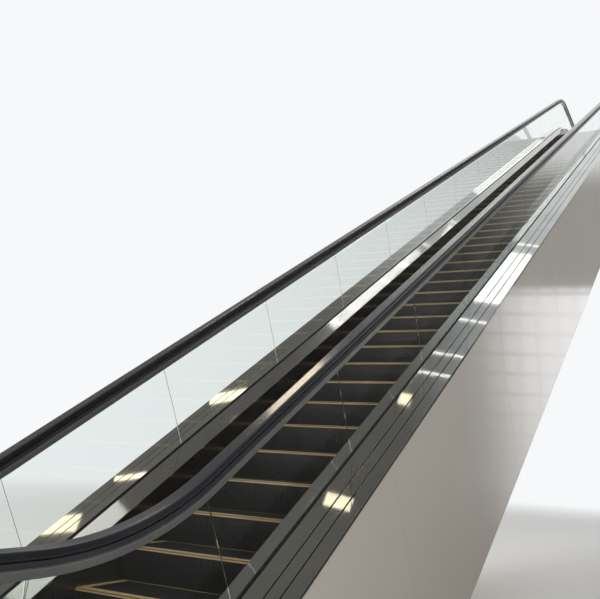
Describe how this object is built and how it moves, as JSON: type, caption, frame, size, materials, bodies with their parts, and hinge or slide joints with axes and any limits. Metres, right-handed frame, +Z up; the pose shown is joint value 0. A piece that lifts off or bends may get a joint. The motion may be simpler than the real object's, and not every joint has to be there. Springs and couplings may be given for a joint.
{
  "type": "escalator",
  "caption": "Public escalator with glass balustrades: cleated steps on a fixed incline, comb plates, rubber handrails round the newels, white side cladding and a bearing for the upper floor.",
  "frame": {"origin": "on the underside of the lower landing pan, at ground level, on the centre line, at the lower working point where the level and sloping nose lines would meet", "axes": "+X the way a rider goes up, level; +Y the rider's left; +Z up"},
  "size_m": [24.3781, 1.824, 10.94],
  "materials": {
    "steps": "dark, cleated",
    "step_edges": "moulded yellow",
    "combs": "ribbed",
    "floor_plates": "fine ribs",
    "skirts": "gloss black",
    "outer_decks": "brushed along the incline",
    "bright_trim": "polished",
    "glass_clamp": "satin",
    "glass": "clear, slightly green",
    "handrails": "semi-gloss",
    "cladding": "gloss white",
    "soffit": "satin cream",
    "truss": "primer grey"
  },
  "bodies": {
    "root": {"lower_steps": "steps", "incline_steps_1": "steps", "incline_steps_2": "steps", "incline_steps_3": "steps", "incline_steps_4": "steps", "upper_steps": "steps", "lower_step_edges": "step_edges", "incline_step_edges": "step_edges", "upper_step_edges": "step_edges", "lower_comb_plate": "combs", "lower_comb": "combs", "upper_comb_plate": "combs", "upper_comb": "combs", "lower_floor_plate": "floor_plates", "upper_floor_plate": "floor_plates", "right_skirt": "skirts", "left_skirt": "skirts", "right_inner_deck": "bright_trim", "left_inner_deck": "bright_trim", "right_outer_deck": "outer_decks", "left_outer_deck": "outer_decks", "right_glass_base": "glass_clamp", "left_glass_base": "glass_clamp", "right_glass": "glass", "left_glass": "glass", "right_end_glass": "glass", "left_end_glass": "glass", "right_handrail_guide": "bright_trim", "left_handrail_guide": "bright_trim", "right_handrail": "handrails", "left_handrail": "handrails", "lower_newel_bases": "outer_decks", "upper_newel_bases": "outer_decks", "right_cladding": "cladding", "left_cladding": "cladding", "incline_soffit": "soffit", "upper_soffit": "soffit", "upper_end_panel": "soffit", "landing_pan": "truss", "incline_truss": "truss", "upper_truss": "truss", "right_truss_side": "truss", "left_truss_side": "truss", "upper_bearing": "truss"}
  },
  "joints": []
}
